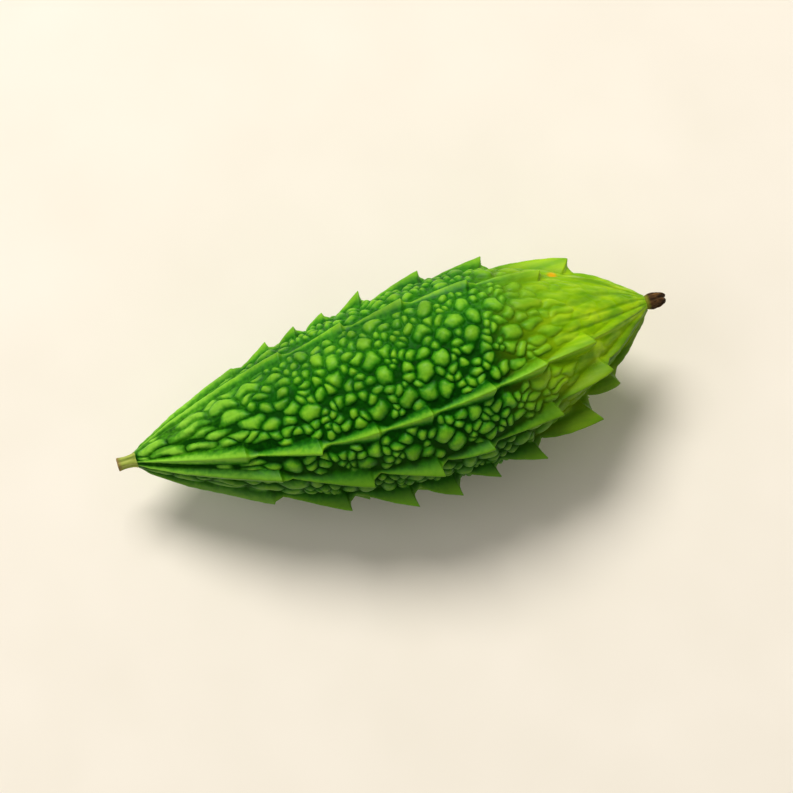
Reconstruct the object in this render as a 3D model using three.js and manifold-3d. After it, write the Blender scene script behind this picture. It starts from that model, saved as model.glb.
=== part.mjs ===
// A bitter gourd: a green spindle-shaped fruit lying on its side, with toothed ridges along its length
// and packed warts between them. X runs from the stem end to the blossom end, Z is up, and it rests on Z = 0.
import * as THREE from "three";
import { ConvexHull } from "three/addons/math/ConvexHull.js";
import { mergeVertices } from "three/addons/utils/BufferGeometryUtils.js";
import Module from "manifold-3d";

const { degToRad, lerp, smoothstep } = THREE.MathUtils;

// Bare spindle, in millimetres
const SPINDLE_LENGTH = 127; // point to point, before both ends are cut
const GIRTH_RADIUS = 22.0; // smooth skin under the relief, at the widest place
const WIDEST_AT = 0.6; // share of the length, from the stem end
const STEM_TAPER = 1.9; // power of the outline's fall towards the stem
const BLOSSOM_TAPER = 2.0; // power of its fall towards the blossom end
const BOW = 3.3; // sideways bend at mid-length
const AXIS_HEIGHT = 22.6; // above the surface, where the fruit is widest: its lowest relief is pressed flat
const DROOP = 0.07; // fall of the axis towards the long stem end, per unit of length, so that it balances

// Cut ends and what sits on them, in millimetres
const STEM_CUT_RADIUS = 2.0;
const BLOSSOM_CUT_RADIUS = 1.9;
const STALK_LENGTH = 4.2;
const STALK_RADIUS = 1.5;
const DRIED_TIP_LENGTH = 4.6;
const DRIED_TIP_RADIUS = 2.0;
const DRIED_LOBES = 5; // one for each petal that withered
const DRIED_LOBE_DEPTH = 0.28; // hollow between two lobes, as a share of the radius
const STALK_SIDES = 10;
const DRIED_TIP_SIDES = 20;
const SEAT_GAP = 0.3; // between a cut end and what sits on it

// Ridges: the angle runs from +Y over the top, in degrees. In millimetres, height is a full tooth's, and tips
// are how far from the stem end its teeth have theirs.
const RIDGES = [
  { angle: 13, height: 3.8, tips: [30, 39, 46, 53, 62, 76, 90, 108] },
  { angle: 42, height: 2.4, tips: [41, 56, 70, 85, 101] },
  { angle: 119, height: 3.4, tips: [28, 44, 57, 69, 83, 95, 107] },
  { angle: 149, height: 4.4, tips: [34, 53, 68, 80, 96, 109] },
  { angle: 183, height: 5.8, tips: [31, 47, 61, 71, 80, 90, 103, 111] },
  { angle: 216, height: 3.8, tips: [27, 41, 52, 66, 77, 91, 105] },
  { angle: 250, height: 3.2, tips: [33, 45, 59, 73, 84, 98, 110] },
  { angle: 295, height: 3.4, tips: [29, 43, 55, 67, 82, 94, 107] },
  { angle: 334, height: 4.0, tips: [35, 48, 58, 70, 79, 92, 102, 112] },
];
const RIDGE_HALF_WIDTH = 1.7; // millimetres, where the fruit is thick
const RIDGE_WIDTH_SHARE = 0.2; // the most that half-width may be, as a share of the skin's radius
const RIDGE_FLARE = [0.6, 1.15]; // shares of the half-width at a tooth's foot and at its tip
const RIDGE_SWAY = degToRad(4); // each ridge wanders this far to either side
const TOOTH_DROP = 2.8; // millimetres from a tooth's tip to the foot of the next one
const TOOTH_LEAN = 0.35; // tip's shift towards the blossom end, per unit of height
const TOOTH_HEIGHTS = [0.75, 1.1]; // least and greatest, as shares of the ridge's height
const FULL_CREST_RADIUS = 7; // millimetres: thinner parts of the fruit carry lower crests
const CREST_STEP = 2.7; // millimetres between points on a crest
const CREST_MARGIN = 2.2; // millimetres of crest left off at each end of the spindle

// Warts: radii in millimetres, the largest placed first and smaller ones in the gaps that are left
const WART_RADII = [2.0, 1.75, 1.5, 1.25, 1.0];
const WART_TRIES = 12000; // places tried for each radius
const WART_PACKING = 0.9; // least distance between two warts, as a share of the sum of their radii
const WART_RANGE = [0.03, 0.97]; // shares of the length between which warts grow
const WART_RISE = 0.66; // height of a wart per unit of its radius
const WART_SWELL = [0.85, 1.15]; // least and greatest share of that height
const RIDGE_OVERLAP = 0.4; // share of a wart's radius that may run up a ridge's foot
const DOME_RADIUS = 1.75; // warts at least this wide get a round shoulder
const SHOULDER_AT = 0.6; // share of the way from a wart's top to its foot
const SHOULDER_RISE = 0.74; // share of a wart's height at its shoulder

// Relief along the fruit: smooth ribs leave the stem, break into teeth and round warts, and sink into a
// smooth blossom end. Spans are shares of the length over which one gives way to the next.
const STEM_SPAN = [0.06, 0.36];
const CREST_SPAN = [0.83, 0.95]; // where the teeth sink
const WART_SPAN = [0.68, 0.88]; // where the warts sink
const CREST_SHARE = { stem: 0.45, middle: 1, blossom: 0.2, span: CREST_SPAN }; // of a tooth's full height
const NOTCH_SHARE = { stem: 0.85, middle: 0.12, blossom: 0.7, span: CREST_SPAN }; // of it, between two teeth
const WART_SHARE = { stem: 0.9, middle: 1, blossom: 0.2, span: WART_SPAN }; // of a wart's full height
const WART_SIZE = { stem: 0.6, middle: 1, blossom: 1, span: WART_SPAN }; // of a wart's full radius
const WART_STRETCH = { stem: 4, middle: 1, blossom: 2.6, span: WART_SPAN }; // wart's length per unit of width

const SEED = 11;
const skinMaterial = new THREE.MeshStandardMaterial({ color: 0x3b7913, roughness: 0.42, metalness: 0 });
const stalkMaterial = new THREE.MeshStandardMaterial({ color: 0x9aa53c, roughness: 0.7, metalness: 0 });
const driedMaterial = new THREE.MeshStandardMaterial({ color: 0x4a2f16, roughness: 0.9, metalness: 0 });

const wasm = await Module();
wasm.setup();

// Park-Miller draws between 0 and 1, the same on every run
let drawState = SEED;
function draw() {
  drawState = (drawState * 16807) % 2147483647;
  return drawState / 2147483647;
}

// Spindle: u is the share of its length, and angle runs round the axis
function skinRadius(u) {
  const fall = u < WIDEST_AT
    ? ((WIDEST_AT - u) / WIDEST_AT) ** STEM_TAPER
    : ((u - WIDEST_AT) / (1 - WIDEST_AT)) ** BLOSSOM_TAPER;
  return GIRTH_RADIUS * (1 - fall);
}

function skinSlope(u) {
  const step = 1e-4;
  const low = Math.max(0, u - step);
  const high = Math.min(1, u + step);
  return (skinRadius(high) - skinRadius(low)) / ((high - low) * SPINDLE_LENGTH);
}

function axisPoint(u) {
  const droop = DROOP * (u - WIDEST_AT) * SPINDLE_LENGTH;
  return new THREE.Vector3(u * SPINDLE_LENGTH, -BOW * Math.sin(Math.PI * u), AXIS_HEIGHT + droop);
}

function pointAbove(u, angle, height, lean) {
  const slope = skinSlope(u);
  const out = height / Math.hypot(1, slope);
  const radius = skinRadius(u) + out;
  const offset = new THREE.Vector3(lean - slope * out, Math.cos(angle) * radius, Math.sin(angle) * radius);
  return axisPoint(u).add(offset);
}

// Share of the length, on the stem or blossom side, where the skin has a given radius
function shareAtRadius(radius, side) {
  const fall = 1 - radius / GIRTH_RADIUS;
  return side === "stem"
    ? WIDEST_AT * (1 - fall ** (1 / STEM_TAPER))
    : WIDEST_AT + (1 - WIDEST_AT) * fall ** (1 / BLOSSOM_TAPER);
}

function alongFruit(u, { stem, middle, blossom, span }) {
  const ribbed = lerp(stem, middle, smoothstep(u, ...STEM_SPAN));
  return lerp(ribbed, blossom, smoothstep(u, ...span));
}

// Ridges: rows of teeth that rise slowly towards the blossom end and drop steeply
function ridgeAngle(ridge, u) {
  return degToRad(ridge.angle) + RIDGE_SWAY * Math.sin(2 * Math.PI * u + ridge.angle);
}

function ridgeHalfWidth(u) {
  return Math.min(RIDGE_HALF_WIDTH, RIDGE_WIDTH_SHARE * skinRadius(u));
}

function growTeeth({ height, tips }) {
  let start = CREST_MARGIN;
  return [...tips, SPINDLE_LENGTH - CREST_MARGIN].map((tip) => {
    const tooth = { start, tip, height: height * lerp(...TOOTH_HEIGHTS, draw()) };
    start = tip + TOOTH_DROP;
    return tooth;
  });
}

function crestSites(ridge, ridgeIndex) {
  return growTeeth(ridge).flatMap(({ start, tip, height }) => {
    const steps = Math.max(2, Math.round((tip - start) / CREST_STEP));
    return Array.from({ length: steps + 1 }, (_, i) => {
      const rise = i / steps;
      const u = lerp(start, tip, rise) / SPINDLE_LENGTH;
      const grown = height * alongFruit(u, CREST_SHARE) * Math.min(1, skinRadius(u) / FULL_CREST_RADIUS);
      const top = grown * lerp(alongFruit(u, NOTCH_SHARE), 1, rise);
      const lean = TOOTH_LEAN * top * rise;
      const reach = ridgeHalfWidth(u) * lerp(...RIDGE_FLARE, rise);
      return { u, angle: ridgeAngle(ridge, u), reach, height: top, lean, ridge: ridgeIndex };
    });
  });
}

// Warts: thrown like darts, and kept where they overlap neither a ridge nor an earlier wart
function angleBetween(a, b) {
  return Math.abs(Math.atan2(Math.sin(a - b), Math.cos(a - b)));
}

function clearOfRidges(u, angle, radius) {
  const room = ridgeHalfWidth(u) + (1 - RIDGE_OVERLAP) * radius;
  return RIDGES.every((ridge) => skinRadius(u) * angleBetween(angle, ridgeAngle(ridge, u)) > room);
}

function clearOfWarts(u, angle, radius, warts) {
  const girth = skinRadius(u);
  const lengthwise = (SPINDLE_LENGTH * Math.hypot(1, skinSlope(u))) / alongFruit(u, WART_STRETCH);
  return warts.every((wart) => {
    const apart = Math.hypot((wart.u - u) * lengthwise, girth * angleBetween(wart.angle, angle));
    return apart > WART_PACKING * (wart.reach + radius);
  });
}

function growWarts() {
  const warts = [];
  for (const radius of WART_RADII) {
    for (let i = 0; i < WART_TRIES; i++) {
      const u = lerp(...WART_RANGE, draw());
      const angle = 2 * Math.PI * draw();
      const swell = lerp(...WART_SWELL, draw());
      const reach = radius * alongFruit(u, WART_SIZE);
      if (!clearOfRidges(u, angle, reach) || !clearOfWarts(u, angle, reach, warts)) continue;
      const height = WART_RISE * reach * swell * alongFruit(u, WART_SHARE);
      warts.push({ u, angle, reach, height, lean: 0, ridge: null });
    }
  }
  return warts;
}

// Maps the skin onto a unit sphere that keeps its angles, so that the hull of the mapped sites joins each to
// its nearest neighbours on the skin
const MAP_STEPS = 2000;
const mapDepth = [0];
for (let i = 1; i <= MAP_STEPS; i++) {
  const u = (i - 0.5) / MAP_STEPS;
  const run = (SPINDLE_LENGTH / MAP_STEPS) * Math.hypot(1, skinSlope(u));
  mapDepth.push(mapDepth[i - 1] + run / (skinRadius(u) * alongFruit(u, WART_STRETCH)));
}
const mapMiddle = mapDepth[Math.round(WIDEST_AT * MAP_STEPS)];

function toSphere(u, angle) {
  const place = Math.min(u * MAP_STEPS, MAP_STEPS - 1e-9);
  const i = Math.floor(place);
  const depth = lerp(mapDepth[i], mapDepth[i + 1], place - i) - mapMiddle;
  const girth = 1 / Math.cosh(depth);
  return new THREE.Vector3(Math.tanh(depth), girth * Math.cos(angle), girth * Math.sin(angle));
}

function fromSphere(direction) {
  const depth = Math.atanh(THREE.MathUtils.clamp(direction.x, -1 + 1e-12, 1 - 1e-12)) + mapMiddle;
  const found = mapDepth.findIndex((d) => d > depth);
  const i = found < 0 ? MAP_STEPS : Math.max(1, found);
  const part = THREE.MathUtils.clamp((depth - mapDepth[i - 1]) / (mapDepth[i] - mapDepth[i - 1]), 0, 1);
  return { u: (i - 1 + part) / MAP_STEPS, angle: Math.atan2(direction.z, direction.y) };
}

// Skin: each wart is a low pyramid whose foot runs along the furrows to its neighbours, and the points of
// one ridge are joined into a crest
function makeSkin(sites) {
  const mapped = sites.map((site, index) => Object.assign(toSphere(site.u, site.angle), { index }));
  const positions = sites.map((site) => pointAbove(site.u, site.angle, site.height, site.lean));
  const furrowOf = new Map();
  const furrowWay = new Map();
  const shoulderOf = new Map();
  const triangles = [];
  const hull = new ConvexHull().setFromPoints(mapped);
  for (const face of hull.faces) {
    const corners = [0, 1, 2].map((i) => face.getEdge(i).head().point);
    const middle = new THREE.Vector3();
    for (const corner of corners) {
      const { ridge, reach } = sites[corner.index];
      const onRidge = corners.filter((other) => ridge !== null && sites[other.index].ridge === ridge);
      middle.addScaledVector(corner, 1 / (reach * Math.max(1, onRidge.length)));
    }
    const { u, angle } = fromSphere(middle.normalize());
    furrowOf.set(face, positions.length);
    furrowWay.set(positions.length, middle);
    positions.push(pointAbove(u, angle, 0, 0));
  }

  function shoulder(top, furrow) {
    const key = `${top} ${furrow}`;
    if (!shoulderOf.has(key)) {
      const way = mapped[top].clone().lerp(furrowWay.get(furrow), SHOULDER_AT).normalize();
      const { u, angle } = fromSphere(way);
      shoulderOf.set(key, positions.length);
      positions.push(pointAbove(u, angle, SHOULDER_RISE * sites[top].height, 0));
    }
    return shoulderOf.get(key);
  }

  // One side of a wart, between two corners of its foot
  function addSide(top, right, left) {
    if (sites[top].ridge !== null || sites[top].reach < DOME_RADIUS) {
      triangles.push(top, right, left);
      return;
    }
    const [upperRight, upperLeft] = [shoulder(top, right), shoulder(top, left)];
    triangles.push(top, upperRight, upperLeft, upperRight, right, left, upperRight, left, upperLeft);
  }

  for (const face of hull.faces) {
    for (let i = 0; i < 3; i++) {
      const edge = face.getEdge(i);
      const [a, b] = [edge.tail().point.index, edge.head().point.index];
      if (a > b) continue;
      const [left, right] = [furrowOf.get(face), furrowOf.get(edge.twin.face)];
      if (sites[a].ridge !== null && sites[a].ridge === sites[b].ridge) {
        triangles.push(a, b, left, b, a, right);
      } else {
        addSide(a, right, left);
        addSide(b, left, right);
      }
    }
  }
  const geometry = new THREE.BufferGeometry().setFromPoints(positions);
  geometry.setIndex(triangles);
  return geometry;
}

// Solids for cutting
function toSolid(geometry) {
  const bare = geometry.clone();
  bare.deleteAttribute("normal");
  bare.deleteAttribute("uv");
  const merged = mergeVertices(bare);
  return new wasm.Manifold(new wasm.Mesh({
    numProp: 3,
    vertProperties: merged.attributes.position.array,
    triVerts: new Uint32Array(merged.index.array),
  }));
}

function toGeometry(solid) {
  const { vertProperties, triVerts } = solid.getMesh();
  const geometry = new THREE.BufferGeometry();
  geometry.setAttribute("position", new THREE.BufferAttribute(vertProperties, 3));
  geometry.setIndex(new THREE.BufferAttribute(triVerts, 1));
  geometry.computeVertexNormals();
  return geometry;
}

const stemCut = axisPoint(shareAtRadius(STEM_CUT_RADIUS, "stem"));
const blossomCut = axisPoint(shareAtRadius(BLOSSOM_CUT_RADIUS, "blossom"));

function makeFruit() {
  const poles = [0, 1].map((u) => ({ u, angle: 0, reach: 1, height: 0, lean: 0, ridge: null }));
  const sites = [...poles, ...RIDGES.flatMap(crestSites), ...growWarts()];
  const size = 2 * SPINDLE_LENGTH;
  const below = new THREE.BoxGeometry(size, size, size).translate(0, 0, -size / 2);
  const beforeStem = new THREE.BoxGeometry(size, size, size).translate(stemCut.x - size / 2, 0, 0);
  const pastBlossom = new THREE.BoxGeometry(size, size, size).translate(blossomCut.x + size / 2, 0, 0);
  const trimmed = [below, beforeStem, pastBlossom].reduce(
    (solid, box) => solid.subtract(toSolid(box)),
    toSolid(makeSkin(sites)),
  );
  return new THREE.Mesh(toGeometry(trimmed), skinMaterial);
}

// Stalk: a short stub that flares where it joins the fruit and where it was cut
function makeStalk() {
  const outline = [
    [0, 0],
    [1.15, 0],
    [0.95, 0.22],
    [0.88, 0.6],
    [1, 0.92],
    [0.9, 1],
    [0, 1],
  ].map(([across, along]) => new THREE.Vector2(across * STALK_RADIUS, along * STALK_LENGTH));
  const stalk = new THREE.Mesh(new THREE.LatheGeometry(outline, STALK_SIDES), stalkMaterial);
  stalk.rotation.z = Math.PI / 2;
  stalk.position.copy(stemCut).x -= SEAT_GAP;
  return stalk;
}

// Dried tip: the withered remains of the flower, shrunk into lobes
function makeDriedTip() {
  const outline = [
    [0, 0],
    [0.85, 0],
    [1, 0.3],
    [0.92, 0.65],
    [0.62, 0.95],
    [0.3, 1],
    [0, 0.86],
  ].map(([across, along]) => new THREE.Vector2(across * DRIED_TIP_RADIUS, along * DRIED_TIP_LENGTH));
  const geometry = new THREE.LatheGeometry(outline, DRIED_TIP_SIDES);
  const position = geometry.getAttribute("position");
  const point = new THREE.Vector3();
  for (let i = 0; i < position.count; i++) {
    point.fromBufferAttribute(position, i);
    const hollow = (1 - Math.cos(DRIED_LOBES * Math.atan2(point.z, point.x))) / 2;
    const lobe = 1 - DRIED_LOBE_DEPTH * hollow;
    position.setXYZ(i, point.x * lobe, point.y, point.z * lobe);
  }
  const tip = new THREE.Mesh(geometry, driedMaterial);
  tip.rotation.z = -Math.PI / 2;
  tip.position.copy(blossomCut).x += SEAT_GAP;
  return tip;
}

// The origin is under the middle of the whole gourd's box
const gourd = new THREE.Group();
const pieces = { fruit: makeFruit(), stalk: makeStalk(), dried_tip: makeDriedTip() };
for (const [name, mesh] of Object.entries(pieces)) {
  mesh.name = name;
  gourd.add(mesh);
}
const middle = new THREE.Box3().setFromObject(gourd, true).getCenter(new THREE.Vector3());
gourd.position.set(-middle.x, -middle.y, 0);

export default gourd;
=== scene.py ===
import math

import bpy
import numpy as np
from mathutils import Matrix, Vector


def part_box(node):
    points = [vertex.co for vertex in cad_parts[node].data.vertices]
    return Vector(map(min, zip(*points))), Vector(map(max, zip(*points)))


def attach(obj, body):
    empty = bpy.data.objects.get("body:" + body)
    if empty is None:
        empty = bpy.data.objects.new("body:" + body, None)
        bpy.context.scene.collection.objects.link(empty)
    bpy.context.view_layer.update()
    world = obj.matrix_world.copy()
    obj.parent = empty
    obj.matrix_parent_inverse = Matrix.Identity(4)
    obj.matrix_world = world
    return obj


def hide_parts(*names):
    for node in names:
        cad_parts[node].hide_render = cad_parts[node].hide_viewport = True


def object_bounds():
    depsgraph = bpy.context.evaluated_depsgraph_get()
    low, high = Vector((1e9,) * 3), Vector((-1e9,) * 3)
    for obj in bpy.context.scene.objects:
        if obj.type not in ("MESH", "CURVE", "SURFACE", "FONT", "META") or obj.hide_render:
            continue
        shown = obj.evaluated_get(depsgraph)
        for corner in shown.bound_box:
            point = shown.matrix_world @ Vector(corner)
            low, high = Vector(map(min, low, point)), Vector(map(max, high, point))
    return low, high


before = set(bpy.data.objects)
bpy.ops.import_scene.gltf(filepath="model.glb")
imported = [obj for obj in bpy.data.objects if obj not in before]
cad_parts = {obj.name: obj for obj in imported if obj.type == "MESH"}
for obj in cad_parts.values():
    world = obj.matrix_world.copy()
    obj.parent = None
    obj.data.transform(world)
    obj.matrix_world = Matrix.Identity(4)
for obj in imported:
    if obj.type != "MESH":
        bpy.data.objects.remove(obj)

cad_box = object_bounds()

MILLIMETRE = 0.001
FULL_TURN = 2 * math.pi

# Bare spindle, as in the solid
SPINDLE_LENGTH = 127.0
GIRTH_RADIUS = 22.0
WIDEST_AT = 0.6
STEM_TAPER = 1.9
BLOSSOM_TAPER = 2.0
BOW = 3.3
DROOP = 0.07
STEM_CUT_RADIUS = 2.0
BLOSSOM_CUT_RADIUS = 1.9
SEAT_GAP = 0.3

# Ridges, as in the solid: angle from +Y over the top in degrees, height of a full tooth, and how far from
# the stem end its teeth have their tips
RIDGES = (
    (13, 3.8, (30, 39, 46, 53, 62, 76, 90, 108)),
    (42, 2.4, (41, 56, 70, 85, 101)),
    (119, 3.4, (28, 44, 57, 69, 83, 95, 107)),
    (149, 4.4, (34, 53, 68, 80, 96, 109)),
    (183, 5.8, (31, 47, 61, 71, 80, 90, 103, 111)),
    (216, 3.8, (27, 41, 52, 66, 77, 91, 105)),
    (250, 3.2, (33, 45, 59, 73, 84, 98, 110)),
    (295, 3.4, (29, 43, 55, 67, 82, 94, 107)),
    (334, 4.0, (35, 48, 58, 70, 79, 92, 102, 112)),
)
RIDGE_HALF_WIDTH = 1.7
RIDGE_WIDTH_SHARE = 0.2
RIDGE_SWAY = math.radians(4)
TOOTH_DROP = 2.8
TOOTH_LEAN = 0.35
TOOTH_HEIGHTS = (0.75, 1.1)
FULL_CREST_RADIUS = 7.0
CREST_MARGIN = 2.2

# Warts, as in the solid
WART_RADII = (2.0, 1.75, 1.5, 1.25, 1.0)
WART_TRIES = 12000
WART_PACKING = 0.9
WART_RANGE = (0.03, 0.97)
WART_RISE = 0.66
WART_SWELL = (0.85, 1.15)
RIDGE_OVERLAP = 0.4

# Relief, as in the solid: shares by the stem, in the middle and by the blossom end, and the span over which
# the last sets in
STEM_SPAN = (0.06, 0.36)
CREST_SPAN = (0.83, 0.95)
WART_SPAN = (0.68, 0.88)
CREST_SHARE = (0.45, 1.0, 0.2, CREST_SPAN)
NOTCH_SHARE = (0.85, 0.12, 0.7, CREST_SPAN)
WART_SHARE = (0.9, 1.0, 0.2, WART_SPAN)
WART_SIZE = (0.6, 1.0, 1.0, WART_SPAN)
WART_STRETCH = (4.0, 1.0, 2.6, WART_SPAN)
SEED = 11

# Finer form of the relief
NET_PITCH = 0.23  # between neighbouring points, where the fruit is thick
RUN_SAMPLES = 4000  # places at which the skin's length is measured
RIDGE_CROWDING = 0.3  # how much closer the points lie beside a ridge
THIN_RADII = (10.0, 4.5)  # each time the skin gets thinner than this, every second column ends
SPLIT_SHARE = 0.6  # of the large warts, which the skin shows as two or three small ones
SPLIT_LEAST = 1.4  # radius of the smallest wart that splits
SPLITS = ((0.6, 0.7), (0.64, 0.6))  # for two and for three: how far out they lie and how wide they are
SPLIT_HEIGHT = 0.85
DOME_BULGES = (1.4, 2.6)  # power of a wart's outline: low for a pointed one and high for a flat one
DOME_FALL = 0.7  # below 1 a wart drops steeply into its furrow
DOME_REACH = 1.16  # radius of a wart's foot, as a share of its place's radius
BEND = 0.55  # how far the furrows stray from even curves
BEND_LENGTHS = (1.3, 0.9, 1.1, 1.7)
RIDGE_FOOT = 0.85  # share of a ridge's half-width up to which warts crowd it
CREST_POWERS = (0.75, 1.1, 0.75, CREST_SPAN)  # of a ridge's flanks: hollow above 1, bulging below
CREST_BLUNT = 0.14  # share of a ridge's half-width that is rounded off its edge
TOOTH_CURVES = (0.65, 1.35)  # power of a tooth's rise: bulging below 1, hollow above
SIDE_LEANS = (-0.4, 0.4)  # tooth's lean to either side, per unit of height
FLAP_FLARE = (0.35, 1.35)  # shares of a ridge's half-width at a tooth's foot and at its tip
HOOK = (0.35, 0.4)  # how far along its drop a tooth bends, and how high it still is there
FURROW_PAINTED_LIGHT = 0.4  # least rise that colours the furrows of the side that faces the light: painted light that lightens them
FURROW_PAINTED_LIGHT_SPAN = (-0.05, 0.45)  # how far towards +Y that side begins and ends
JOIN_ROUND = 0.18  # fillet where a wart runs into a ridge
END_FADE = 2.5  # length over which the relief runs out at both cut ends
LINE_COUNT = 17  # lines that run lengthwise at both ends
LINE_DEPTH = 0.16
LINE_WANDER = 2.2
LINE_SHARPNESS = 3
LINE_BENDS = ((9, 3), (14, -5))  # waves that bend the lines: per unit of u and per radian round the fruit
SMOOTH_ENDS = (1.0, 0.0, 1.0, WART_SPAN)
SHADE_SPAN = (0.55, 0.97)  # how far towards -Y the painted shade of the darker side begins and is full
SPOT_AT = 0.83  # share of the length where a small ripe spot lies
SPOT_ANGLE = math.radians(34)
SPOT_RADIUS = 1.1
LUMPS = (  # height of uneven swells over the whole skin, and their lengths in three directions
    (0.07, (3.1, 2.3, 1.7)),
    (0.06, (0.62, 0.5, 0.41)),
)


def smooth(low, high, value):
    t = np.clip((value - low) / (high - low), 0, 1)
    return t * t * (3 - 2 * t)


def mixed(low, high, share):
    return low + (high - low) * share


def along_fruit(u, shares):
    stem, middle, blossom, span = shares
    ribbed = mixed(stem, middle, smooth(*STEM_SPAN, u))
    return mixed(ribbed, blossom, smooth(*span, u))


# Spindle: u is the share of its length from the stem end
def skin_fall(u):
    """How far u lies from the widest place, from 0 there to 1 at a point, and the power it falls by."""
    before = u < WIDEST_AT
    far = np.where(before, (WIDEST_AT - u) / WIDEST_AT, (u - WIDEST_AT) / (1 - WIDEST_AT))
    return np.maximum(far, 0), np.where(before, STEM_TAPER, BLOSSOM_TAPER)


def skin_radius(u):
    far, power = skin_fall(u)
    return GIRTH_RADIUS * (1 - far**power)


def skin_slope(u):
    far, power = skin_fall(u)
    reach = np.where(u < WIDEST_AT, WIDEST_AT, WIDEST_AT - 1) * SPINDLE_LENGTH
    return GIRTH_RADIUS * power * far ** (power - 1) / reach


def share_at_radius(radius, stem_side):
    fall = 1 - radius / GIRTH_RADIUS
    if stem_side:
        return WIDEST_AT * (1 - fall ** (1 / STEM_TAPER))
    return WIDEST_AT + (1 - WIDEST_AT) * fall ** (1 / BLOSSOM_TAPER)


STEM_CUT = share_at_radius(STEM_CUT_RADIUS, stem_side=True)
BLOSSOM_CUT = share_at_radius(BLOSSOM_CUT_RADIUS, stem_side=False)


def bare_axis(u):
    return np.array([
        u * SPINDLE_LENGTH,
        -BOW * math.sin(math.pi * u),
        DROOP * (u - WIDEST_AT) * SPINDLE_LENGTH,
    ])


def frame_shift():
    """What moves the formula's points to where the solid lies, read from the stalk's place in the frame."""
    low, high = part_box("stalk")
    seat = np.array([high.x, (low.y + high.y) / 2, (low.z + high.z) / 2]) / MILLIMETRE
    seat[0] += SEAT_GAP
    return seat - bare_axis(STEM_CUT)


SHIFT = frame_shift()


def axis_point(u):
    return bare_axis(u) + SHIFT


# Draws between 0 and 1, the same on every run and the same as the solid's
DRAW_FACTOR = 16807
DRAW_MODULUS = 2147483647


def park_miller(seed):
    state = seed
    while True:
        state = state * DRAW_FACTOR % DRAW_MODULUS
        yield state / DRAW_MODULUS


rolls = park_miller(SEED)
looks = np.random.default_rng(SEED)  # for what the solid leaves out


# Ridges
def ridge_angle(ridge, u):
    degrees = ridge[0]
    return math.radians(degrees) + RIDGE_SWAY * np.sin(FULL_TURN * u + degrees)


def ridge_half_width(u):
    return np.minimum(RIDGE_HALF_WIDTH, RIDGE_WIDTH_SHARE * skin_radius(u))


def grow_teeth(ridge):
    """Knots along a ridge, three to a tooth: place, rise, and the tooth's height, curve and side lean."""
    _, height, tips = ridge
    knots = []
    start = CREST_MARGIN
    for tip in (*tips, SPINDLE_LENGTH - CREST_MARGIN):
        tall = height * mixed(*TOOTH_HEIGHTS, next(rolls))
        curve = mixed(*TOOTH_CURVES, looks.random())
        side = mixed(*SIDE_LEANS, looks.random())
        hook_at, hook_rise = HOOK
        for place, rise in ((start, 0), (tip, 1), (tip + hook_at * TOOTH_DROP, hook_rise)):
            knots.append((place, rise, tall, curve, side))
        start = tip + TOOTH_DROP
    return np.array(knots).T


def crest(teeth, u):
    """Height of a ridge's crest, its leans towards the blossom end and sideways, and its half-width."""
    places, *values = teeth
    rise, height, curve, side = [np.interp(u * SPINDLE_LENGTH, places, value) for value in values]
    grown = height * along_fruit(u, CREST_SHARE) * min(1, skin_radius(u) / FULL_CREST_RADIUS)
    top = grown * mixed(along_fruit(u, NOTCH_SHARE), 1, rise**curve)
    half_width = ridge_half_width(u) * mixed(*FLAP_FLARE, rise)
    return top, TOOTH_LEAN * top * rise, side * top * rise, half_width


# Warts
def turn_between(a, b):
    return np.abs((a - b + math.pi) % FULL_TURN - math.pi)


def clear_of_ridges(u, angle, radius):
    girth = skin_radius(u)
    room = ridge_half_width(u) + (1 - RIDGE_OVERLAP) * radius
    return all(girth * turn_between(angle, ridge_angle(ridge, u)) > room for ridge in RIDGES)


def lengthwise(u):
    """Length on the skin for each unit of u, shortened as much as warts are stretched there."""
    return SPINDLE_LENGTH * np.hypot(1, skin_slope(u)) / along_fruit(u, WART_STRETCH)


def clear_of_warts(u, angle, radius, warts):
    along = (warts[:, 0] - u) * lengthwise(u)
    around = skin_radius(u) * turn_between(warts[:, 1], angle)
    return np.all(np.hypot(along, around) > WART_PACKING * (warts[:, 2] + radius))


def grow_warts():
    """u, angle, radius and height of each wart, one a row."""
    warts = np.zeros((len(WART_RADII) * WART_TRIES, 4))
    count = 0
    for radius in WART_RADII:
        for _ in range(WART_TRIES):
            u = mixed(*WART_RANGE, next(rolls))
            angle = FULL_TURN * next(rolls)
            swell = mixed(*WART_SWELL, next(rolls))
            reach = radius * along_fruit(u, WART_SIZE)
            if clear_of_ridges(u, angle, reach) and clear_of_warts(u, angle, reach, warts[:count]):
                height = WART_RISE * reach * swell * along_fruit(u, WART_SHARE)
                warts[count] = u, angle, reach, height
                count += 1
    return warts[:count]


def split_warts(warts):
    """The solid's warts, with some of the large ones as two or three small ones round the same place."""
    split = []
    for u, angle, radius, height in warts:
        if radius < SPLIT_LEAST or looks.random() > SPLIT_SHARE:
            split.append((u, angle, radius, height))
            continue
        choice = looks.integers(len(SPLITS))
        count = choice + 2
        outward, width = SPLITS[choice]
        first = FULL_TURN * looks.random()
        for way in first + FULL_TURN * np.arange(count) / count:
            along = outward * radius * math.cos(way) / lengthwise(u)
            around = outward * radius * math.sin(way) / skin_radius(u)
            split.append((u + along, angle + around, width * radius, SPLIT_HEIGHT * height))
    return np.array(split)


RIDGE_TEETH = [grow_teeth(ridge) for ridge in RIDGES]
WARTS = split_warts(grow_warts())
WART_TINTS, WART_BULGES = looks.random((2, len(WARTS)))


# Net of points: rings across the fruit, with columns that follow the ridges
def ring_shares():
    fine = np.linspace(STEM_CUT, BLOSSOM_CUT, RUN_SAMPLES)
    middles = (fine[1:] + fine[:-1]) / 2
    steps = np.hypot(1, skin_slope(middles)) * np.diff(fine) * SPINDLE_LENGTH
    run = np.concatenate([[0], np.cumsum(steps)])
    count = round(run[-1] / NET_PITCH)
    return np.interp(np.linspace(0, run[-1], count), run, fine)


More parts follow.
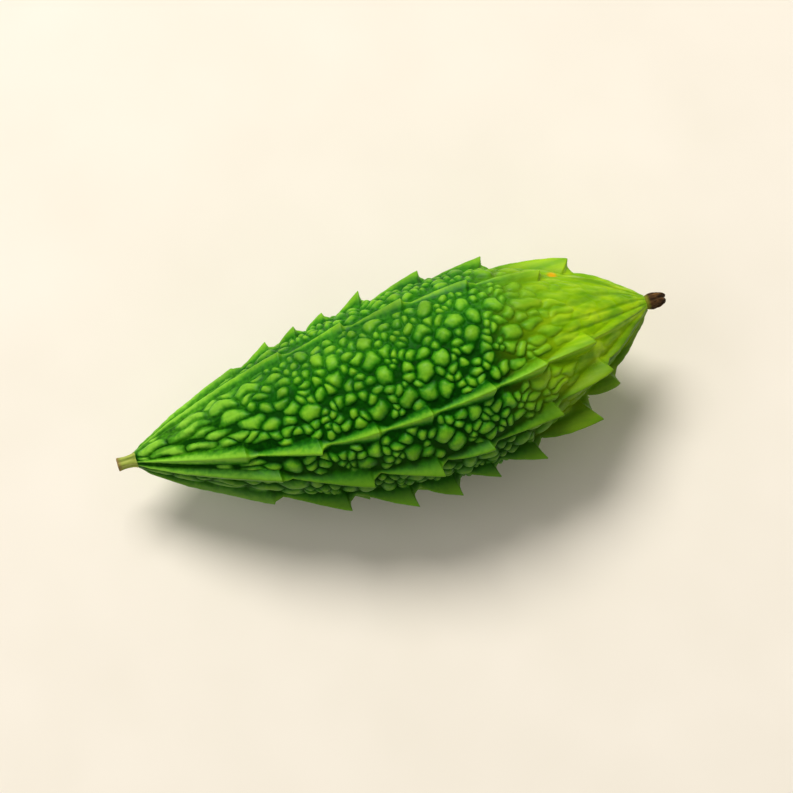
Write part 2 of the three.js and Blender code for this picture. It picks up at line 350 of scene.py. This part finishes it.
def column_angles(u):
    """Angles of a full ring's points: the first column of each stretch runs along a ridge's crest."""
    halvings = 2 ** len(THIN_RADII)
    columns = FULL_TURN * GIRTH_RADIUS / NET_PITCH
    stretches = []
    for i, ridge in enumerate(RIDGES):
        following = RIDGES[(i + 1) % len(RIDGES)]
        wrap = 360 if i + 1 == len(RIDGES) else 0
        share = (following[0] + wrap - ridge[0]) / 360
        count = halvings * round(columns * share / halvings)
        t = np.arange(count) / count
        t -= RIDGE_CROWDING * np.sin(FULL_TURN * t) / FULL_TURN
        first = ridge_angle(ridge, u)
        stretches.append(mixed(first, ridge_angle(following, u) + math.radians(wrap), t))
    return np.concatenate(stretches)


def bends(u, angles):
    """How far each point's place is pushed along and around the skin before its wart is looked up."""
    x = u * SPINDLE_LENGTH
    y = skin_radius(u) * np.cos(angles)
    z = skin_radius(u) * np.sin(angles)
    a, b, c, d = BEND_LENGTHS
    along = np.sin(x / a + y / b) + np.sin(z / c - x / d)
    around = np.sin(x / b - z / a) + np.sin(y / d + x / c)
    return BEND / 2 * along, BEND / 2 * around


def nearest_warts(u, angles):
    """For each angle on a ring: the index of its wart, and how many wart radii off it and the next are."""
    push_along, push_around = bends(u, angles)
    apart = (WARTS[:, 0] - u) * lengthwise(u)
    near = np.flatnonzero(np.abs(apart) < 2 * WART_RADII[0])
    if len(near) < 2:
        return np.zeros(len(angles), int), np.ones(len(angles)), np.ones(len(angles))
    along = apart[near] + push_along[:, None]
    turned = angles + push_around / skin_radius(u)
    around = skin_radius(u) * turn_between(turned[:, None], WARTS[near, 1])
    distances = np.hypot(along, around) / WARTS[near, 2]
    points = np.arange(len(angles))
    first = distances.argmin(axis=1)
    distance = distances[points, first]
    distances[points, first] = np.inf
    return near[first], distance, distances.min(axis=1)


def ring_relief(u, angles):
    """Height and lean of a ring's points, and what their colours depend on."""
    ridge_turns = np.array([turn_between(angles, ridge_angle(ridge, u)) for ridge in RIDGES])
    nearest = ridge_turns.argmin(axis=0)
    beside = skin_radius(u) * ridge_turns.min(axis=0)
    tops, leans, sides, half_widths = np.array([crest(teeth, u) for teeth in RIDGE_TEETH]).T
    half_width = half_widths[nearest]
    edge = 1 + CREST_BLUNT - np.hypot(beside / half_width, CREST_BLUNT)
    flank = np.clip(edge, 0, 1) ** along_fruit(u, CREST_POWERS)
    ridge_height = tops[nearest] * flank

    wart, distance, second = nearest_warts(u, angles)
    to_ridge = np.maximum(beside - RIDGE_FOOT * half_width, 0) / WARTS[wart, 2]
    crowded = np.maximum(2 * distance / (distance + second), distance / (distance + to_ridge))
    outward = np.clip(np.maximum(crowded, distance / DOME_REACH), 0, 1)
    dome = (1 - outward ** mixed(*DOME_BULGES, WART_BULGES[wart])) ** DOME_FALL
    wart_height = WARTS[wart, 3] * dome

    step = ridge_height - wart_height
    height = (ridge_height + wart_height + np.hypot(step, JOIN_ROUND) - JOIN_ROUND) / 2
    from_cut = min(u - STEM_CUT, BLOSSOM_CUT - u) * SPINDLE_LENGTH
    fade = smooth(0, END_FADE, from_cut)
    wander = sum(np.sin(along * u + around * angles) for along, around in LINE_BENDS)
    waves = (1 + np.cos(LINE_COUNT * angles + LINE_WANDER * wander)) / 2
    lines = along_fruit(u, SMOOTH_ENDS) * waves**LINE_SHARPNESS
    # Painted light: furrows on the side towards +Y, which faces the key light, are coloured lighter; their
    # depth stays the same
    pale = FURROW_PAINTED_LIGHT * smooth(*FURROW_PAINTED_LIGHT_SPAN, np.cos(angles))
    around_spot = skin_radius(u) * turn_between(angles, SPOT_ANGLE)
    to_spot = np.hypot((u - SPOT_AT) * SPINDLE_LENGTH, around_spot)
    return {
        "height": fade * (height - LINE_DEPTH * lines),
        "lean": fade * leans[nearest] * flank,
        "side": fade * sides[nearest] * flank,
        # rise drives the skin colour: dark in the furrows as painted shade, light on wart and ridge tops as
        # painted highlight
        "rise": np.maximum(np.maximum(dome, flank), pale),
        "crest": ridge_height,
        "tint": WART_TINTS[wart],
        "line": lines,
        "shade": smooth(*SHADE_SPAN, -np.cos(angles)),
        "spot": np.exp(-((to_spot / SPOT_RADIUS) ** 2)),
        "along": np.full(len(angles), u),
    }


def lumps(points):
    """Height of the uneven swells at some points."""
    x, y, z = points.T
    total = 0
    for height, (a, b, c) in LUMPS:
        waves = np.sin((x + 2 * y) / a) + np.sin((2 * y - z) / b) + np.sin((z + x) / c)
        total = total + height * waves / 3
    return total


def ring_points(u, angles, relief):
    slope = skin_slope(u)
    outward = np.stack([np.full(len(angles), -slope), np.cos(angles), np.sin(angles)], axis=1)
    outward /= math.hypot(1, slope)
    across = np.stack([0 * angles, np.cos(angles), np.sin(angles)], axis=1)
    bare = axis_point(u) + skin_radius(u) * across
    raised = bare + outward * (relief["height"] + lumps(bare))[:, None]
    raised[:, 0] += relief["lean"]
    raised[:, 1] -= relief["side"] * np.sin(angles)
    raised[:, 2] += relief["side"] * np.cos(angles)
    raised[:, 2] = np.maximum(raised[:, 2], 0)
    return raised


# Meshes of rings
def joined_rings(counts, starts, rows):
    """Faces between neighbouring rings, and each corner's place on a flat map: row and share of the turn."""
    faces, places = [], []

    def corner(ring, column):
        return starts[ring] + column % counts[ring], (rows[ring], column / counts[ring])

    def add(*corners):
        faces.append([index for index, _ in corners])
        places.extend(place for _, place in corners)

    for ring in range(len(counts) - 1):
        here, there = counts[ring], counts[ring + 1]
        for j in range(min(here, there)):
            if here == there:
                add(corner(ring, j), corner(ring, j + 1), corner(ring + 1, j + 1), corner(ring + 1, j))
            elif here > there:
                middle = corner(ring, 2 * j + 1)
                add(corner(ring, 2 * j), middle, corner(ring + 1, j))
                add(middle, corner(ring + 1, j + 1), corner(ring + 1, j))
                add(middle, corner(ring, 2 * j + 2), corner(ring + 1, j + 1))
            else:
                middle = corner(ring + 1, 2 * j + 1)
                add(corner(ring, j), middle, corner(ring + 1, 2 * j))
                add(corner(ring, j), corner(ring, j + 1), middle)
                add(corner(ring, j + 1), corner(ring + 1, 2 * j + 2), middle)
    return faces, places


def mesh_of_rings(name, rings, attributes):
    """A closed mesh through rings of points, each with as many points as the last, twice as many or half."""
    counts = [len(ring) for ring in rings]
    starts = np.concatenate([[0], np.cumsum(counts)])
    centres = [rings[0].mean(axis=0), rings[-1].mean(axis=0)]
    points = np.concatenate([*rings, centres]) * MILLIMETRE
    margin = 1 / len(rings)
    rows = np.linspace(margin, 1 - margin, len(rings))
    faces, places = joined_rings(counts, starts, rows)
    first, last = counts[0], counts[-1]
    for j in range(first):
        faces.append([starts[-1], (j + 1) % first, j])
        places.extend([(0, (j + 0.5) / first), (rows[0], (j + 1) / first), (rows[0], j / first)])
    for j in range(last):
        faces.append([starts[-1] + 1, starts[-2] + j, starts[-2] + (j + 1) % last])
        places.extend([(1, (j + 0.5) / last), (rows[-1], j / last), (rows[-1], (j + 1) / last)])

    mesh = bpy.data.meshes.new(name)
    mesh.from_pydata(points.tolist(), [], faces)
    mesh.uv_layers.new(name="OFBake").data.foreach_set("uv", np.array(places).ravel())
    for key, values in attributes.items():
        padded = np.concatenate([values, np.zeros(len(centres))])
        mesh.attributes.new(key, "FLOAT", "POINT").data.foreach_set("value", padded)
    mesh.polygons.foreach_set("use_smooth", np.ones(len(faces), bool))
    mesh.update()
    piece = bpy.data.objects.new(name, mesh)
    bpy.context.scene.collection.objects.link(piece)
    return piece


SKIN_ATTRIBUTES = ("rise", "crest", "tint", "line", "shade", "spot", "along")


def make_fruit():
    rings = []
    kept = {name: [] for name in SKIN_ATTRIBUTES}
    for u in ring_shares():
        step = 2 ** sum(skin_radius(u) < thin for thin in THIN_RADII)
        angles = column_angles(u)[::step]
        relief = ring_relief(u, angles)
        rings.append(ring_points(u, angles, relief))
        for key, values in kept.items():
            values.append(relief[key])
    attributes = {key: np.concatenate(values) for key, values in kept.items()}
    return mesh_of_rings("gourd_fruit", rings, attributes)


# Small pieces round a line along X
def eased_outline(outline, steps):
    knots = np.arange(len(outline))
    fine = np.linspace(0, len(outline) - 1, steps * (len(outline) - 1) + 1)
    return [np.interp(fine, knots, column) for column in np.array(outline).T]


def ripples(waves, angles, along):
    """Sum of waves round a ring, each given as its height, its number and its twist along the piece."""
    return sum(height * np.sin(number * angles + twist * along) for height, number, twist in waves)


def ring_round(centre, x, angles, reach):
    return np.stack([x, centre[1] + np.cos(angles) * reach, centre[2] + np.sin(angles) * reach], axis=1)


# Stalk: a ribbed stub with a flared foot and a hollowed cut face
STALK_RIBS = 6
STALK_RIB_DEPTH = 0.09
STALK_RIB_TWIST = 0.8  # radians over its length
STALK_FIBRES = ((0.02, 23, 4), (0.015, 41, -6))  # depth, number and twist of finer ribs
STALK_COLUMNS = 60
STALK_OUTLINE = (  # share of its length from the fruit, and share of its radius
    (-0.12, 1.25),
    (0.0, 1.15),
    (0.08, 1.04),
    (0.22, 0.95),
    (0.45, 0.89),
    (0.62, 0.88),
    (0.8, 0.94),
    (0.93, 1.0),
    (0.985, 0.97),
    (1.0, 0.88),
    (0.985, 0.74),
    (0.94, 0.5),
    (0.9, 0.22),
    (0.88, 0.06),
)
STALK_STEPS = 5  # rings between two points of the outline


def make_stalk():
    low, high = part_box("stalk")
    length = (high.x - low.x) / MILLIMETRE
    radius = (high.z - low.z) / 2 / MILLIMETRE / STALK_OUTLINE[1][1]
    angles = np.arange(STALK_COLUMNS) * FULL_TURN / STALK_COLUMNS
    foot = axis_point(STEM_CUT) - np.array([SEAT_GAP, 0, 0])
    rings, far = [], []
    for along, across in zip(*eased_outline(STALK_OUTLINE, STALK_STEPS)):
        ribs = 1 + STALK_RIB_DEPTH * np.cos(STALK_RIBS * angles + STALK_RIB_TWIST * along)
        fibres = 1 + ripples(STALK_FIBRES, angles, along)
        reach = radius * across * ribs * fibres
        x = np.full(STALK_COLUMNS, foot[0] - along * length)
        rings.append(ring_round(foot, x, angles, reach))
        far.append(np.full(STALK_COLUMNS, along))
    rings.reverse()
    far.reverse()
    return mesh_of_rings("gourd_stalk", rings, {"along": np.concatenate(far)})


# Dried tip: the withered flower, shrunk into lobes that split and curl at their ends
TIP_LOBES = 5
TIP_COLUMNS = 80
TIP_OUTLINE = (  # share of its length from the fruit, and share of its radius
    (-0.16, 0.72),
    (0.0, 0.85),
    (0.14, 0.95),
    (0.3, 1.0),
    (0.48, 0.96),
    (0.65, 0.9),
    (0.8, 0.78),
    (0.92, 0.64),
    (0.99, 0.46),
    (1.02, 0.28),
    (1.0, 0.14),
    (0.99, 0.05),
)
TIP_STEPS = 5
TIP_LOBE_DEPTH = 0.12
TIP_TWIST = 0.5
TIP_GROWTH = (-0.1, 0.5)  # shares of its length between which the lobes part
TIP_CREASES = ((0.06, 13, 5), (0.04, 29, -9))  # depth, number and twist
TIP_UNEVEN = ((0.04, 2, 1), (0.03, 3, 0))  # waves that make some lobes longer than others
TIP_CURL = 0.06  # how far the hollows between the lobes are drawn back
TIP_SLACK = 0.06  # what it is shorter than the solid, so that long lobes hardly reach past that


def make_dried_tip():
    low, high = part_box("dried_tip")
    length = (high.x - low.x) / MILLIMETRE
    radius = (high.z - low.z) / 2 / MILLIMETRE
    angles = np.arange(TIP_COLUMNS) * FULL_TURN / TIP_COLUMNS
    foot = axis_point(BLOSSOM_CUT) + np.array([SEAT_GAP, 0, 0])
    rings, far, fold = [], [], []
    for along, across in zip(*eased_outline(TIP_OUTLINE, TIP_STEPS)):
        turned = angles + TIP_TWIST * along
        hollow = (1 - np.cos(TIP_LOBES * turned)) / 2
        grown = smooth(*TIP_GROWTH, along)
        creases = ripples(TIP_CREASES, angles, along)
        reach = radius * across * (1 - TIP_LOBE_DEPTH * grown * hollow + grown * creases)
        uneven = ripples(TIP_UNEVEN, angles, 1)
        x = foot[0] + length * along * (1 - TIP_CURL * grown * hollow + grown * uneven - TIP_SLACK)
        rings.append(ring_round(foot, x, angles, reach))
        far.append(np.full(TIP_COLUMNS, along))
        fold.append(hollow * grown)
    attributes = {"along": np.concatenate(far), "fold": np.concatenate(fold)}
    return mesh_of_rings("gourd_dried_tip", rings, attributes)


# Materials
def srgb(red, green, blue):
    """A colour as seen on a screen, from 0 to 255, as the linear values that shaders take."""
    def linear(value):
        share = value / 255
        return share / 12.92 if share <= 0.04045 else ((share + 0.055) / 1.055) ** 2.4
    return (linear(red), linear(green), linear(blue), 1.0)


class Shader:
    """A material and short ways to add nodes to it: an input takes a socket to link or a value to set."""

    def __init__(self, name):
        self.material = bpy.data.materials.new(name)
        self.material.use_nodes = True
        self.tree = self.material.node_tree
        self.surface = self.tree.nodes["Principled BSDF"]

    def feed(self, socket, value):
        if isinstance(value, bpy.types.NodeSocket):
            self.tree.links.new(value, socket)
        else:
            socket.default_value = value

    def node(self, kind, inputs, **settings):
        made = self.tree.nodes.new(kind)
        for key, value in settings.items():
            setattr(made, key, value)
        for key, value in inputs.items():
            self.feed(made.inputs[key], value)
        return made

    def attribute(self, name):
        return self.node("ShaderNodeAttribute", {}, attribute_name=name).outputs["Fac"]

    def noise(self, scale, detail=3.0, stretch=(1, 1, 1)):
        place = self.node("ShaderNodeTexCoord", {}).outputs["Object"]
        mapped = self.node("ShaderNodeMapping", {"Vector": place, "Scale": stretch}).outputs["Vector"]
        settings = {"Vector": mapped, "Scale": scale, "Detail": detail}
        return self.node("ShaderNodeTexNoise", settings).outputs["Fac"]

    def span(self, value, low, high, start=0.0, end=1.0):
        """value's way from low to high, eased, as a number from start to end."""
        inputs = {"Value": value, "From Min": low, "From Max": high, "To Min": start, "To Max": end}
        return self.node("ShaderNodeMapRange", inputs, interpolation_type="SMOOTHSTEP").outputs["Result"]

    def math(self, operation, first, second):
        return self.node("ShaderNodeMath", {0: first, 1: second}, operation=operation).outputs[0]

    def mix(self, share, first, second):
        inputs = {0: share, 6: first, 7: second}
        return self.node("ShaderNodeMix", inputs, data_type="RGBA").outputs[2]

    def ramp(self, share, stops):
        made = self.node("ShaderNodeValToRGB", {"Fac": share})
        points = made.color_ramp.elements
        while len(points) < len(stops):
            points.new(0.5)
        for point, (place, colour) in zip(points, stops):
            point.position = place
            point.color = colour
        return made.outputs["Color"]

    def bump(self, height, strength, distance):
        inputs = {"Height": height, "Strength": strength, "Distance": distance}
        self.feed(self.surface.inputs["Normal"], self.node("ShaderNodeBump", inputs).outputs["Normal"])

    def set(self, **values):
        for key, value in values.items():
            self.feed(self.surface.inputs[key.replace("_", " ")], value)


def skin_material():
    skin = Shader("gourd_skin")
    along = skin.attribute("along")
    mottle = skin.noise(900, 3)
    streaks = skin.noise(420, 4, stretch=(0.12, 1, 1))

    rise = skin.attribute("rise")
    lit = skin.math("ADD", rise, skin.span(mottle, 0.2, 0.8, -0.15, 0.15))
    # Painted shade and highlight: the green darkens into the furrows, where shade falls, and lightens on
    # wart and ridge tops, where light falls; the mottle shifts it at random
    green = skin.ramp(lit, [
        (0.0, srgb(5, 54, 0)),
        (0.3, srgb(16, 92, 0)),
        (0.62, srgb(58, 140, 4)),
        (1.0, srgb(118, 184, 28)),
    ])
    tops = skin.span(rise, 0.4, 0.9)
    tinted = skin.math("MULTIPLY", tops, skin.span(skin.attribute("tint"), 0.4, 1, 0, 0.4))
    fresh = skin.mix(tinted, green, srgb(132, 184, 24))
    deep = skin.mix(skin.span(skin.noise(110, 4), 0.4, 0.7, 0, 0.4), fresh, srgb(14, 80, 2))
    edged = skin.mix(skin.span(skin.attribute("crest"), 1.0, 4.0, 0, 0.65), deep, srgb(122, 178, 26))

    pale = skin.ramp(streaks, [
        (0.3, srgb(104, 160, 2)),
        (0.5, srgb(136, 184, 8)),
        (0.68, srgb(164, 202, 22)),
    ])
    blossom = skin.mix(skin.span(along, 0.66, 0.86), edged, pale)
    # Painted shade and highlight at the stem end: the ribs are dark in their valleys and light on their
    # crests, with streaks at random
    ribs = skin.ramp(skin.math("ADD", lit, skin.span(streaks, 0.3, 0.7, -0.15, 0.15)), [
        (0.1, srgb(8, 60, 0)),
        (0.5, srgb(70, 144, 10)),
        (0.9, srgb(136, 200, 52)),
    ])
    stem = skin.mix(skin.span(along, 0.3, 0.1, 0, 0.85), blossom, ribs)
    # Painted shade in the lengthwise grooves at both ends
    groove_shaded = skin.mix(skin.span(skin.attribute("line"), 0.2, 1, 0, 0.4), stem, srgb(40, 106, 2))
    # Painted shade: the side towards -Y, turned away from the key light, is coloured a darker olive
    shaded = skin.mix(skin.span(skin.attribute("shade"), 0, 1, 0, 0.5), groove_shaded, srgb(34, 74, 2))
    ripened = skin.mix(skin.span(skin.attribute("spot"), 0.1, 0.95, 0, 0.9), shaded, srgb(222, 164, 8))
    skin.set(
        Base_Color=ripened,
        Roughness=skin.span(mottle, 0.3, 0.7, 0.42, 0.56),
        Specular_IOR_Level=skin.span(rise, 0.1, 0.7, 0.03, 0.18),
    )
    skin.bump(skin.noise(2600, 3), 0.25, 0.00012)
    return skin.material


def stalk_material():
    stalk = Shader("gourd_stalk")
    fibres = stalk.noise(1500, 4, stretch=(0.08, 1, 1))
    green = stalk.ramp(fibres, [
        (0.3, srgb(112, 130, 40)),
        (0.5, srgb(154, 168, 66)),
        (0.7, srgb(188, 194, 104)),
    ])
    dry = stalk.ramp(stalk.noise(1800, 4), [
        (0.3, srgb(96, 70, 34)),
        (0.7, srgb(168, 140, 84)),
    ])
    browned = stalk.mix(stalk.span(stalk.attribute("along"), 0.7, 1.0), green, dry)
    stalk.set(Base_Color=browned, Roughness=0.72, Specular_IOR_Level=0.3)
    stalk.bump(fibres, 0.5, 0.0002)
    return stalk.material


def dried_material():
    dried = Shader("gourd_dried_tip")
    crumple = dried.noise(1400, 5, stretch=(0.4, 1, 1))
    brown = dried.ramp(crumple, [
        (0.3, srgb(34, 22, 8)),
        (0.5, srgb(70, 46, 20)),
        (0.72, srgb(122, 86, 44)),
    ])
    shaded = dried.mix(dried.span(dried.attribute("fold"), 0.2, 1, 0, 0.7), brown, srgb(26, 16, 6))
    green_foot = dried.mix(dried.span(dried.attribute("along"), 0.22, -0.05), shaded, srgb(124, 128, 30))
    dried.set(Base_Color=green_foot, Roughness=0.85, Specular_IOR_Level=0.2)
    dried.bump(crumple, 0.7, 0.0003)
    return dried.material


# Stage: floor, light and camera
FLOOR_SIZE = 3.2
FLOOR_DROP = 0.00003  # keeps the floor clear of the faces that rest on it
CAMERA_AZIMUTH = math.radians(-16.6)
CAMERA_ELEVATION = math.radians(78)
CAMERA_DISTANCE = 0.55
PICTURE_PIXELS = 793
PIXELS_PER_METRE = 4400.0  # in the picture, at the gourd
SENSOR_WIDTH = 36.0
LIGHT_TARGET = Vector((0, 0, 0.02))
HORIZON_STRENGTH = 0.85  # of the light that comes from all round at floor level
SKY_STRENGTH = 0.32  # and from above
HORIZON_HEIGHT = 0.3  # sine of the angle where the second begins


def floor_material():
    floor = Shader("floor")
    speckle = floor.noise(30, 2)
    floor.set(
        Base_Color=floor.ramp(speckle, [(0.3, srgb(240, 233, 220)), (0.7, srgb(244, 237, 225))]),
        Roughness=0.8,
        Specular_IOR_Level=0.2,
    )
    return floor.material


def make_floor():
    half = FLOOR_SIZE / 2
    corners = [(-half, -half, -FLOOR_DROP), (half, -half, -FLOOR_DROP)]
    corners += [(half, half, -FLOOR_DROP), (-half, half, -FLOOR_DROP)]
    mesh = bpy.data.meshes.new("floor")
    mesh.from_pydata(corners, [], [(0, 1, 2, 3)])
    mesh.materials.append(floor_material())
    floor = bpy.data.objects.new("floor", mesh)
    bpy.context.scene.collection.objects.link(floor)


def aim(placed, target):
    placed.rotation_euler = (target - placed.location).to_track_quat("-Z", "Y").to_euler()


def make_softbox(name, place, size, power, colour):
    light = bpy.data.lights.new(name, "AREA")
    light.shape = "DISK"
    light.size = size
    light.energy = power
    light.color = colour
    box = bpy.data.objects.new(name, light)
    box.location = place
    bpy.context.scene.collection.objects.link(box)
    aim(box, LIGHT_TARGET)


def make_light():
    make_softbox("key", place=(-0.1, 1.1, 1.6), size=0.9, power=34.0, colour=(1.0, 0.97, 0.92))
    make_softbox("fill", place=(-1.2, 0.1, 1.3), size=1.2, power=4.0, colour=(0.94, 0.97, 1.0))
    world = bpy.data.worlds.new("studio")
    world.use_nodes = True
    tree = world.node_tree
    air = tree.nodes["Background"]
    air.inputs["Color"].default_value = srgb(246, 241, 232)
    way = tree.nodes.new("ShaderNodeTexCoord")
    split = tree.nodes.new("ShaderNodeSeparateXYZ")
    fall = tree.nodes.new("ShaderNodeMapRange")
    fall.inputs["From Max"].default_value = HORIZON_HEIGHT
    fall.inputs["To Min"].default_value = HORIZON_STRENGTH
    fall.inputs["To Max"].default_value = SKY_STRENGTH
    tree.links.new(way.outputs["Generated"], split.inputs["Vector"])
    tree.links.new(split.outputs["Z"], fall.inputs["Value"])
    tree.links.new(fall.outputs["Result"], air.inputs["Strength"])
    bpy.context.scene.world = world


def make_camera():
    low, high = cad_box
    target = (low + high) / 2
    level = math.cos(CAMERA_ELEVATION)
    back = Vector((
        math.sin(CAMERA_AZIMUTH) * level,
        -math.cos(CAMERA_AZIMUTH) * level,
        math.sin(CAMERA_ELEVATION),
    ))
    lens = bpy.data.cameras.new("camera")
    lens.sensor_width = SENSOR_WIDTH
    lens.lens = SENSOR_WIDTH * PIXELS_PER_METRE * CAMERA_DISTANCE / PICTURE_PIXELS
    camera = bpy.data.objects.new("camera", lens)
    camera.location = target + back * CAMERA_DISTANCE
    bpy.context.scene.collection.objects.link(camera)
    aim(camera, target)
    bpy.context.scene.camera = camera


PIECES = (
    (make_fruit, skin_material, "fruit", "skin"),
    (make_stalk, stalk_material, "stalk", "stalk"),
    (make_dried_tip, dried_material, "dried_tip", "dried_tip"),
)
make_camera()
for make_piece, make_material, node, slot in PIECES:
    piece = make_piece()
    piece.data.materials.append(make_material())
    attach(piece, "root")
    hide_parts(node)
make_floor()
make_light()
bpy.context.scene.view_settings.view_transform = "Standard"
